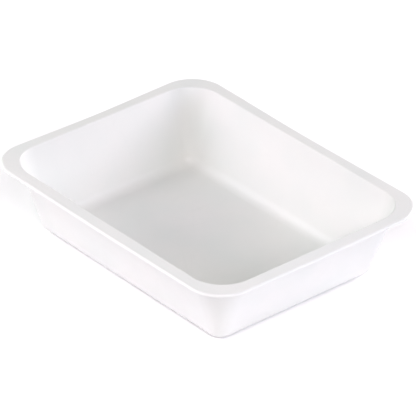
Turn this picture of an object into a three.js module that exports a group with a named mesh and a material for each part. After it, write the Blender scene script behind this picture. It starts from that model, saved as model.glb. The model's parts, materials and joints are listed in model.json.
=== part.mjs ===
// Shallow rectangular paint tray, moulded in one piece from white plastic.
// Millimetres, +Z up, +X along the long side. The origin is the centre of the underside.
//
// The tray has one wall thickness everywhere. Its section is the same all the way round:
// flat floor, rounded floor bend, leaning wall, rounded mouth, flat flange and a rolled-down lip.
// A section point is (inset, height): inset is measured inwards from the edge of the flat flange.

import * as THREE from 'three';

// Overall size
const OVERALL_LENGTH = 350;
const OVERALL_WIDTH = 276;
const HEIGHT = 79;

// Wall and section
const WALL = 1.5;
const FLANGE_WIDTH = 11.5;
const WALL_LEAN = THREE.MathUtils.degToRad(17.5);
const FLOOR_BEND = 13;
const MOUTH_BEND = 0.5;
const LIP_BEND = 1;
const LIP_SKIRT = 0.5;

// Corners seen from above
const FLANGE_CORNER = 35.5;
const MOUTH_CORNER = 36.5;
const SHARPEST_CORNER = 0.5;

// Facets in each rounded part
const CORNER_STEPS = 10;
const FLOOR_BEND_STEPS = 6;
const MOUTH_BEND_STEPS = 3;
const LIP_STEPS = 4;

// The flat flange ends where the lip starts to roll down
const LIP_REACH = LIP_BEND + WALL;
const FLANGE_LENGTH_OUTSIDE = OVERALL_LENGTH - 2 * LIP_REACH;
const FLANGE_WIDTH_OUTSIDE = OVERALL_WIDTH - 2 * LIP_REACH;

const QUARTER_TURN = Math.PI / 2;
const HALF_TURN = Math.PI;

function arc(centre, radius, from, to, steps) {
  const clockwise = to < from;
  return new THREE.EllipseCurve(centre.x, centre.y, radius, radius, from, to, clockwise).getPoints(steps);
}

// Centre of the bend between the wall and the floor, on the side of the tray's hollow
function floorBendCentre() {
  const height = WALL + FLOOR_BEND;
  const wallHeight = height - FLOOR_BEND * Math.sin(WALL_LEAN);
  const wallInset = FLANGE_WIDTH + (HEIGHT - wallHeight) * Math.tan(WALL_LEAN);
  return new THREE.Vector2(wallInset + FLOOR_BEND * Math.cos(WALL_LEAN), height);
}

// Centre of the bend between the flange and the wall, under the flange
function mouthBendCentre() {
  const radius = MOUTH_BEND + WALL;
  const wallDrop = radius - radius * Math.sin(WALL_LEAN);
  const wallInset = FLANGE_WIDTH + wallDrop * Math.tan(WALL_LEAN);
  return new THREE.Vector2(wallInset - radius * Math.cos(WALL_LEAN), HEIGHT - radius);
}

function lipCentre() {
  return new THREE.Vector2(0, HEIGHT - LIP_REACH);
}

// Outside of the tray, from the underside up to the flange
function outerWallSection() {
  const floorBend = arc(
    floorBendCentre(), FLOOR_BEND + WALL, HALF_TURN + QUARTER_TURN, HALF_TURN + WALL_LEAN, FLOOR_BEND_STEPS);
  const mouthBend = arc(mouthBendCentre(), MOUTH_BEND, WALL_LEAN, QUARTER_TURN, MOUTH_BEND_STEPS);
  return [...floorBend, ...mouthBend];
}

// Round the lip, from the flange's underside to its flat top
function lipSection() {
  const centre = lipCentre();
  const lipBottom = centre.y - LIP_SKIRT;
  return [
    ...arc(centre, LIP_BEND, QUARTER_TURN, HALF_TURN, LIP_STEPS),
    new THREE.Vector2(-LIP_BEND, lipBottom),
    new THREE.Vector2(-LIP_REACH, lipBottom),
    ...arc(centre, LIP_REACH, HALF_TURN, QUARTER_TURN, LIP_STEPS),
  ];
}

// Inside of the tray, from the mouth down to the floor
function innerWallSection() {
  const mouthBend = arc(mouthBendCentre(), MOUTH_BEND + WALL, QUARTER_TURN, WALL_LEAN, MOUTH_BEND_STEPS);
  const floorBend = arc(
    floorBendCentre(), FLOOR_BEND, HALF_TURN + WALL_LEAN, HALF_TURN + QUARTER_TURN, FLOOR_BEND_STEPS);
  return [...mouthBend, ...floorBend];
}

// A rounded rectangle at one section point. edgeCorner is the corner radius that its family
// of parallel outlines has at the edge of the flat flange.
function ring(point, edgeCorner) {
  const radius = Math.max(edgeCorner - point.x, SHARPEST_CORNER);
  const x = FLANGE_LENGTH_OUTSIDE / 2 - point.x - radius;
  const y = FLANGE_WIDTH_OUTSIDE / 2 - point.x - radius;
  const centres = [[x, y], [-x, y], [-x, -y], [x, -y]];
  return centres.flatMap(([cornerX, cornerY], quarter) => {
    const start = quarter * QUARTER_TURN;
    const corner = arc(new THREE.Vector2(cornerX, cornerY), radius, start, start + QUARTER_TURN, CORNER_STEPS);
    return corner.map((p) => new THREE.Vector3(p.x, p.y, point.y));
  });
}

function cap(loop, firstIndex, facesUp) {
  const flat = loop.map((p) => new THREE.Vector2(p.x, p.y));
  return THREE.ShapeUtils.triangulateShape(flat, []).flatMap(([a, b, c]) => {
    const triangle = facesUp ? [a, b, c] : [a, c, b];
    return triangle.map((i) => firstIndex + i);
  });
}

// Skin over a stack of rings with equal point counts, closed by a flat cap at each end.
// The rings run from the underside, over the outside and the flange, to the floor.
function loft(rings) {
  const count = rings[0].length;
  const indices = cap(rings[0], 0, false);
  for (let level = 0; level < rings.length - 1; level += 1) {
    for (let i = 0; i < count; i += 1) {
      const next = (i + 1) % count;
      const a = level * count + i;
      const b = level * count + next;
      const c = (level + 1) * count + next;
      const d = (level + 1) * count + i;
      indices.push(a, b, c, a, c, d);
    }
  }
  indices.push(...cap(rings.at(-1), (rings.length - 1) * count, true));
  const geometry = new THREE.BufferGeometry().setFromPoints(rings.flat());
  geometry.setIndex(indices);
  geometry.computeVertexNormals();
  return geometry;
}

function trayGeometry() {
  const mouthFamily = MOUTH_CORNER + FLANGE_WIDTH;
  return loft([
    ...outerWallSection().map((point) => ring(point, mouthFamily)),
    ...lipSection().map((point) => ring(point, FLANGE_CORNER)),
    ...innerWallSection().map((point) => ring(point, mouthFamily)),
  ]);
}

function whitePlastic() {
  return new THREE.MeshStandardMaterial({ color: 0xf3f3f1, roughness: 0.35, metalness: 0 });
}

const tray = new THREE.Mesh(trayGeometry(), whitePlastic());
tray.name = 'tray';

const paintTray = new THREE.Group();
paintTray.add(tray);

export default paintTray;
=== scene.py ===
import json
import math

import bmesh
import bpy
from mathutils import Matrix, Vector

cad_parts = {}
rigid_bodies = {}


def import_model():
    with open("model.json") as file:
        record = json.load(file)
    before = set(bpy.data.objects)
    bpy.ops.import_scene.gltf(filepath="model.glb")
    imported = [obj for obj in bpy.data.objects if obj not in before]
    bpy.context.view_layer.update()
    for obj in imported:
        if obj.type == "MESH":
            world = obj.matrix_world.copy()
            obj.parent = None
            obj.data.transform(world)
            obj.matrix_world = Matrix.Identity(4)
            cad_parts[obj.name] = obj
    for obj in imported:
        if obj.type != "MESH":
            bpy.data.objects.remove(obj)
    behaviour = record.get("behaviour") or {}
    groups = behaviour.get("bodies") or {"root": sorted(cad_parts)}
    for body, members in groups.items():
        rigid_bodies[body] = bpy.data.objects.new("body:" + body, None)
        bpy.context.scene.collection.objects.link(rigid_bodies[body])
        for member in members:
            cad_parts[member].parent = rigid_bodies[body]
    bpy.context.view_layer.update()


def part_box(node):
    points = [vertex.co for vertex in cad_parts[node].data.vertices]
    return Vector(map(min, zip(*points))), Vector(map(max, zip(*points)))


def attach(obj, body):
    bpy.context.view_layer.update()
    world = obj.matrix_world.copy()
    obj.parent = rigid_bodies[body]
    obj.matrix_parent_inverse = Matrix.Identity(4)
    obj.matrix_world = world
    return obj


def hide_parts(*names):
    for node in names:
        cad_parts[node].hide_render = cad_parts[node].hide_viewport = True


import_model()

MM = 0.001

tray_low, tray_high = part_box("tray")

# The tray's sizes, as the moulder's drawing gives them. Length, width and height come from the frame.
LENGTH = tray_high.x - tray_low.x
WIDTH = tray_high.y - tray_low.y
HEIGHT = tray_high.z
WALL = 1.5 * MM
FLANGE = 11.5 * MM
WALL_LEAN = math.radians(17.5)
FLOOR_BEND = 13.0 * MM
MOUTH_BEND = 0.5 * MM + WALL
LIP_BEND = 1.0 * MM + WALL
LIP_SKIRT = 0.5 * MM
FLANGE_CORNER = 35.5 * MM
MOUTH_CORNER = 36.5 * MM
LIP_EDGE_ROUND = 0.35 * MM
SIDE_DROOP = 1.3 * MM
SIDE_PULL_IN = 0.5 * MM

# Bends are far gentler than these from face to face, and cut edges are sharper.
SMOOTH_UP_TO = math.radians(40)
CUT_EDGE_FROM = math.radians(60)
# Points closer than this are the same point.
SAME_POINT = 0.001 * MM

# How finely the round parts are cut
CORNER_SEGMENTS = 28
STRAIGHT_CUTS = 15
FLOOR_BEND_STEPS = 16
MOUTH_BEND_STEPS = 6
LIP_STEPS = 8
LIP_EDGE_STEPS = 3


# ---------------------------------------------------------------- camera

def add_camera():
    """A long lens, far back, looking down over the tray's front corner."""
    azimuth = math.radians(48.82)
    elevation = math.radians(31.22)
    roll = math.radians(0.94)
    distance = 4.16
    lens = 366.5
    drop = 25.5 * MM
    right_shift = 2.2 * MM

    bpy.ops.object.camera_add(rotation=(math.pi / 2 - elevation, 0, azimuth))
    camera = bpy.context.object
    bpy.context.view_layer.update()
    right, up, back = (camera.matrix_world.to_3x3().col[i].copy() for i in range(3))
    rim_centre = Vector((0, 0, HEIGHT))
    camera.location = rim_centre + back * distance + right * right_shift - up * drop
    camera.rotation_euler = (camera.rotation_euler.to_matrix() @ Matrix.Rotation(roll, 3, "Z")).to_euler()
    camera.data.lens = lens
    camera.data.sensor_width = 36
    camera.data.clip_end = 50
    bpy.context.scene.camera = camera


# ---------------------------------------------------------------- modelling helpers

def select(kind, wanted):
    """In edit mode, selects only the verts, edges or faces that pass the test."""
    data = bpy.context.edit_object.data
    mesh = bmesh.from_edit_mesh(data)
    chosen = [element.index for element in getattr(mesh, kind) if wanted(element)]
    bpy.ops.mesh.select_mode(type={"verts": "VERT", "edges": "EDGE", "faces": "FACE"}[kind])
    bpy.ops.mesh.select_all(action="DESELECT")
    mesh = bmesh.from_edit_mesh(data)
    elements = getattr(mesh, kind)
    elements.ensure_lookup_table()
    for index in chosen:
        elements[index].select_set(True)
    mesh.select_flush_mode()
    bmesh.update_edit_mesh(data)


def round_rectangle(length, width, corner, height):
    """In edit mode, adds a flat rounded rectangle facing up and leaves its face selected."""
    bpy.ops.mesh.primitive_plane_add(size=1, location=(0, 0, height))
    bpy.ops.transform.resize(value=(length, width, 1), center_override=(0, 0, height))
    bpy.ops.mesh.select_mode(type="VERT")
    bpy.ops.mesh.bevel(offset=corner, segments=CORNER_SEGMENTS, affect="VERTICES", clamp_overlap=False)
    bpy.ops.mesh.select_linked()
    corner_chord = corner * math.pi / 2 / CORNER_SEGMENTS
    select("edges", lambda e: e.select and e.calc_length() > 2 * corner_chord)
    bpy.ops.mesh.subdivide(number_cuts=STRAIGHT_CUTS)
    bpy.ops.mesh.select_linked()


def inset_along(section):
    """Insets the selected face step by step along a section of (inset, height) points."""
    for (inset, height), (next_inset, next_height) in zip(section, section[1:]):
        bpy.ops.mesh.inset(thickness=next_inset - inset, depth=next_height - height, use_even_offset=True)


def arc(centre, radius, start, end, steps):
    """Section points round a bend, from one angle to another, in degrees."""
    angles = [math.radians(start + (end - start) * i / steps) for i in range(steps + 1)]
    return [(centre[0] + radius * math.cos(a), centre[1] + radius * math.sin(a)) for a in angles]


# ---------------------------------------------------------------- the tray

def mouth_section():
    """From the flat flange, over the mouth's bend, down the wall and round the bend to the floor."""
    lean = math.degrees(WALL_LEAN)
    mouth_drop = MOUTH_BEND - MOUTH_BEND * math.sin(WALL_LEAN)
    mouth_inset = FLANGE + mouth_drop * math.tan(WALL_LEAN) - MOUTH_BEND * math.cos(WALL_LEAN)
    mouth_centre = (mouth_inset, HEIGHT - MOUTH_BEND)
    bend_height = WALL + FLOOR_BEND
    wall_foot = bend_height - FLOOR_BEND * math.sin(WALL_LEAN)
    foot_inset = FLANGE + (HEIGHT - wall_foot) * math.tan(WALL_LEAN)
    bend_centre = (foot_inset + FLOOR_BEND * math.cos(WALL_LEAN), bend_height)
    return (arc(mouth_centre, MOUTH_BEND, 90, lean, MOUTH_BEND_STEPS)
            + arc(bend_centre, FLOOR_BEND, 180 + lean, 270, FLOOR_BEND_STEPS))


def model_lip():
    """The rolled-down lip, built upwards from its lower edge to the flat flange."""
    lip_bottom = HEIGHT - LIP_BEND - LIP_SKIRT
    round_rectangle(LENGTH, WIDTH, FLANGE_CORNER + LIP_BEND, lip_bottom)
    bpy.ops.mesh.extrude_region_move(TRANSFORM_OT_translate={"value": (0, 0, LIP_SKIRT)})
    inset_along(arc((0, HEIGHT - LIP_BEND), LIP_BEND, 180, 90, LIP_STEPS))
    select("faces", lambda f: len(f.verts) > 4)
    bpy.ops.mesh.delete(type="ONLY_FACE")


def let_sides_droop():
    """Halfway along each side the lip hangs a little lower and further in than at the corners."""
    for axis, half_side in ((0, WIDTH / 2), (1, LENGTH / 2)):
        for outward in (1, -1):
            select("verts", lambda v: abs(v.co[1 - axis]) < SAME_POINT and v.co[axis] * outward > 0)
            shift = Vector((0, 0, -SIDE_DROOP))
            shift[axis] = -outward * SIDE_PULL_IN
            bpy.ops.transform.translate(
                value=shift, use_proportional_edit=True, use_proportional_connected=True,
                proportional_edit_falloff="SMOOTH", proportional_size=half_side - FLANGE_CORNER / 2)


def model_bowl():
    """The mouth, walls and floor, sunk from a rounded rectangle in the flange's plane."""
    section = mouth_section()
    start = section[0][0]
    corner = MOUTH_CORNER + FLANGE - start
    length = LENGTH - 2 * (LIP_BEND + start)
    width = WIDTH - 2 * (LIP_BEND + start)
    round_rectangle(length, width, corner, HEIGHT)
    inset_along(section)


def model_flange():
    """Bridges the lip's upper edge to the mouth's edge with the flat flange."""
    lip_bottom = HEIGHT - LIP_BEND - LIP_SKIRT
    select("edges", lambda e: e.is_boundary and min(v.co.z for v in e.verts) > lip_bottom + LIP_BEND / 2)
    bpy.ops.mesh.bridge_edge_loops()


def thicken(piece):
    """Gives the skin its wall, to the outside and underside, and eases the lip's cut edges."""
    sheet = piece.modifiers.new("wall", "SOLIDIFY")
    sheet.thickness = WALL
    sheet.offset = -1
    sheet.use_even_offset = True
    bpy.ops.object.modifier_apply(modifier=sheet.name)
    eased = piece.modifiers.new("eased_edge", "BEVEL")
    eased.width = LIP_EDGE_ROUND
    eased.segments = LIP_EDGE_STEPS
    eased.limit_method = "ANGLE"
    eased.angle_limit = CUT_EDGE_FROM
    bpy.ops.object.modifier_apply(modifier=eased.name)


def shade(piece):
    """Smooth bends, and walls that shade as flat as they are."""
    bpy.ops.object.shade_smooth_by_angle(angle=SMOOTH_UP_TO)
    weighted = piece.modifiers.new("flat_walls", "WEIGHTED_NORMAL")
    weighted.keep_sharp = True
    bpy.ops.object.modifier_apply(modifier=weighted.name)


def make_tray():
    """The whole moulding: a skin modelled part by part, then given its wall."""
    bpy.ops.object.select_all(action="DESELECT")
    bpy.ops.mesh.primitive_plane_add(size=1, location=(0, 0, 0), enter_editmode=True)
    bpy.ops.mesh.delete(type="VERT")
    piece = bpy.context.object
    piece.name = "tray_moulding"
    model_lip()
    let_sides_droop()
    model_bowl()
    model_flange()
    bpy.ops.mesh.select_all(action="SELECT")
    bpy.ops.mesh.remove_doubles(threshold=SAME_POINT)
    bpy.ops.object.mode_set(mode="OBJECT")
    thicken(piece)
    shade(piece)
    return piece


# ---------------------------------------------------------------- material

def linear(hex_colour):
    """sRGB hex to linear RGBA."""
    channels = [int(hex_colour[i:i + 2], 16) / 255 for i in (1, 3, 5)]
    return [c / 12.92 if c <= 0.04045 else ((c + 0.055) / 1.055) ** 2.4 for c in channels] + [1.0]


def add_node(tree, kind, settings=None, links=None):
    """Adds a node, sets its values or properties, and links inputs to sockets or nodes' first outputs."""
    node = tree.nodes.new(kind)
    for key, value in (settings or {}).items():
        if isinstance(key, int) or key in node.inputs:
            node.inputs[key].default_value = value
        else:
            setattr(node, key, value)
    for key, source in (links or {}).items():
        socket = source if isinstance(source, bpy.types.NodeSocket) else source.outputs[0]
        tree.links.new(socket, node.inputs[key])
    return node


# Sizes of what the surface shows. The mould's real grain is about 0.1 mm, finer than a picture of the whole
# tray can hold, so it is drawn coarser.
FLOW_PATCH = 60 * MM
GLOSS_PATCH = 14 * MM
SINK_WAVE = 45 * MM
SINK_DEPTH = 0.06 * MM
GRAIN = 0.8 * MM
GRAIN_DEPTH = 0.006 * MM
SCUFF_SPACING = 16 * MM
SCUFF_STRETCH = 9
SCUFF_HALF_WIDTH = 0.02  # as a share of the spacing
SCUFF_DEPTH = 0.0008 * MM
SCUFF_TURNS = (math.radians(24), math.radians(-58))
# Scuffs show only where their own patch noise is above the first value, fully above the second.
SCUFFED_FROM = 0.52
SCUFFED_FULLY = 0.62
SCUFF_TINT = 0.2
RUB_FULL_HEIGHT = 0.4 * MM
RUB_TOP_HEIGHT = 0.9 * MM
RUB_PATCH = 5 * MM
RUB_LEAST = 0.25
GLOSSIEST = 0.37
MATTEST = 0.45
WORN_MATT = 0.12
# The places of a Mix node's two colour inputs and its colour output
MIX_A = 6
MIX_B = 7
MIX_COLOUR = 2
# Nearly all of a noise pattern's values lie between these.
NOISE_LOW = 0.35
NOISE_HIGH = 0.65


def scuffs(tree, place, turn):
    """Hairline scuffs running one way: the edges of long cells, broken into short lengths."""
    turned = add_node(tree, "ShaderNodeMapping", {"Rotation": (0, 0, turn)}, {"Vector": place})
    stretched = add_node(tree, "ShaderNodeVectorMath", {
        "operation": "MULTIPLY", 1: (1, 1 / SCUFF_STRETCH, 1)}, {0: turned})
    cells = add_node(tree, "ShaderNodeTexVoronoi", {
        "feature": "DISTANCE_TO_EDGE", "Scale": 1 / SCUFF_SPACING}, {"Vector": stretched})
    line = add_node(tree, "ShaderNodeMapRange", {
        "From Max": SCUFF_HALF_WIDTH, "To Min": 1, "To Max": 0}, {"Value": cells.outputs["Distance"]})
    patches = add_node(tree, "ShaderNodeTexNoise", {"Scale": 1 / FLOW_PATCH}, {"Vector": place})
    broken = add_node(tree, "ShaderNodeMapRange", {
        "From Min": SCUFFED_FROM, "From Max": SCUFFED_FULLY}, {"Value": patches})
    return add_node(tree, "ShaderNodeMath", {"operation": "MULTIPLY"}, {0: line, 1: broken})


def white_polypropylene():
    """Injection-moulded white polypropylene.

    The eye gets a satin white that is a little milky and never mirror-like. The plastic's flow in the
    mould leaves soft patches of slightly different white and gloss, the walls aren't dead flat, the mould's
    grain breaks up reflections, and handling leaves hairline scuffs and a grey rub where the tray stands.
    """
    material = bpy.data.materials.new("white_polypropylene_moulded")
    material.use_nodes = True
    tree = material.node_tree
    tree.nodes.clear()
    place = add_node(tree, "ShaderNodeTexCoord").outputs["Object"]

    flow_noise = add_node(tree, "ShaderNodeTexNoise", {"Scale": 1 / FLOW_PATCH}, {"Vector": place})
    flow = add_node(tree, "ShaderNodeMapRange", {
        "From Min": NOISE_LOW, "From Max": NOISE_HIGH}, {"Value": flow_noise})
    white = add_node(tree, "ShaderNodeMix", {
        "data_type": "RGBA", MIX_A: linear("#DCDFDB"), MIX_B: linear("#E0E1DD")}, {0: flow})

    both_scuffs = [scuffs(tree, place, turn) for turn in SCUFF_TURNS]
    scuffed = add_node(tree, "ShaderNodeMath", {
        "operation": "ADD", "use_clamp": True}, dict(enumerate(both_scuffs)))
    scuff_tint = add_node(tree, "ShaderNodeMapRange", {"To Max": SCUFF_TINT}, {"Value": scuffed})
    scuffed_white = add_node(tree, "ShaderNodeMix", {
        "data_type": "RGBA", MIX_B: linear("#DADCD8")}, {0: scuff_tint, MIX_A: white.outputs[MIX_COLOUR]})

    height = add_node(tree, "ShaderNodeSeparateXYZ", {}, {"Vector": place}).outputs["Z"]
    near_base = add_node(tree, "ShaderNodeMapRange", {
        "From Min": RUB_FULL_HEIGHT, "From Max": RUB_TOP_HEIGHT, "To Min": 1, "To Max": 0}, {
        "Value": height})
    rub_noise = add_node(tree, "ShaderNodeTexNoise", {
        "Scale": 1 / RUB_PATCH, "Detail": 4}, {"Vector": place})
    rub_patches = add_node(tree, "ShaderNodeMapRange", {
        "From Min": NOISE_LOW, "From Max": NOISE_HIGH, "To Min": RUB_LEAST}, {
        "Value": rub_noise})
    rubbed = add_node(tree, "ShaderNodeMath", {"operation": "MULTIPLY"}, {0: near_base, 1: rub_patches})
    colour = add_node(tree, "ShaderNodeMix", {
        "data_type": "RGBA", MIX_B: linear("#D9DBD7")}, {
        0: rubbed, MIX_A: scuffed_white.outputs[MIX_COLOUR]})

    gloss_noise = add_node(tree, "ShaderNodeTexNoise", {
        "Scale": 1 / GLOSS_PATCH, "Detail": 3}, {"Vector": place})
    gloss = add_node(tree, "ShaderNodeMapRange", {
        "From Min": NOISE_LOW, "From Max": NOISE_HIGH, "To Min": GLOSSIEST, "To Max": MATTEST}, {
        "Value": gloss_noise})
    worn = add_node(tree, "ShaderNodeMath", {"operation": "MAXIMUM"}, {0: scuffed, 1: rubbed})
    added_matt = add_node(tree, "ShaderNodeMapRange", {"To Max": WORN_MATT}, {"Value": worn})
    roughness = add_node(tree, "ShaderNodeMath", {"operation": "ADD"}, {0: gloss, 1: added_matt})

    sink_noise = add_node(tree, "ShaderNodeTexNoise", {
        "Scale": 1 / SINK_WAVE, "Detail": 1}, {"Vector": place})
    waves = add_node(tree, "ShaderNodeBump", {"Distance": SINK_DEPTH}, {"Height": sink_noise})
    grain_noise = add_node(tree, "ShaderNodeTexNoise", {"Scale": 1 / GRAIN}, {"Vector": place})
    grain = add_node(tree, "ShaderNodeBump", {"Distance": GRAIN_DEPTH}, {
        "Height": grain_noise, "Normal": waves})
    scratched = add_node(tree, "ShaderNodeBump", {
        "invert": True, "Distance": SCUFF_DEPTH}, {"Height": scuffed, "Normal": grain})

    surface = add_node(tree, "ShaderNodeBsdfPrincipled", {"IOR": 1.49}, {
        "Base Color": colour.outputs[MIX_COLOUR], "Roughness": roughness, "Normal": scratched})
    add_node(tree, "ShaderNodeOutputMaterial", {}, {"Surface": surface})
    return material


# ---------------------------------------------------------------- floor and lights

FLOOR_SIZE = 30
# Softboxes: name, azimuth, elevation, side, watts, colour. Azimuth 0 stands in front, 90 to the right.
LIGHTS = [
    ("left_front_low", -30, 18, 0.8, 13.7, "#FFEEFF"),
    ("left_front_high", -30, 40, 1.0, 19.3, "#F9F9FF"),
    ("left_back_low", -90, 18, 0.8, 10.4, "#EBFFE7"),
    ("right_front_high", 60, 40, 1.0, 26.2, "#FFF8FB"),
    ("right_back_low", 120, 18, 0.8, 16.9, "#E9EAFF"),
    ("back_low", 180, 18, 0.8, 34.6, "#FFF6FA"),
]
LIGHT_DISTANCE = 2.0
FLOOR_GLOW = 0.05


def add_floor():
    """A pale sweep that glows a little, as one lit from beneath does."""
    bpy.ops.mesh.primitive_plane_add(size=FLOOR_SIZE, location=(0, 0, 0))
    floor = bpy.context.object
    floor.name = "studio_floor"
    material = bpy.data.materials.new("white_sweep")
    material.use_nodes = True
    surface = material.node_tree.nodes["Principled BSDF"]
    surface.inputs["Base Color"].default_value = linear("#F8F8F8")
    surface.inputs["Roughness"].default_value = 0.9
    surface.inputs["Emission Color"].default_value = (1, 1, 1, 1)
    surface.inputs["Emission Strength"].default_value = FLOOR_GLOW
    floor.data.materials.append(material)


def add_light(name, azimuth, elevation, side, watts, colour):
    """A square softbox aimed at the middle of the tray."""
    a, e = math.radians(azimuth), math.radians(elevation)
    direction = Vector((math.sin(a) * math.cos(e), -math.cos(a) * math.cos(e), math.sin(e)))
    middle = Vector((0, 0, HEIGHT / 2))
    bpy.ops.object.light_add(type="AREA", location=middle + direction * LIGHT_DISTANCE)
    light = bpy.context.object
    light.name = name
    light.rotation_euler = direction.to_track_quat("Z", "Y").to_euler()
    light.data.size = side
    light.data.energy = watts
    light.data.color = linear(colour)[:3]


def add_surroundings():
    """Dark air, so that only the softboxes and the floor light the tray."""
    world = bpy.data.worlds.new("studio_air")
    bpy.context.scene.world = world
    world.use_nodes = True
    world.node_tree.nodes["Background"].inputs["Strength"].default_value = 0.0
    bpy.context.scene.view_settings.view_transform = "Standard"


add_camera()

tray = make_tray()
tray.data.materials.append(white_polypropylene())
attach(tray, "root")
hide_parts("tray")

add_floor()
for light in LIGHTS:
    add_light(*light)
add_surroundings()
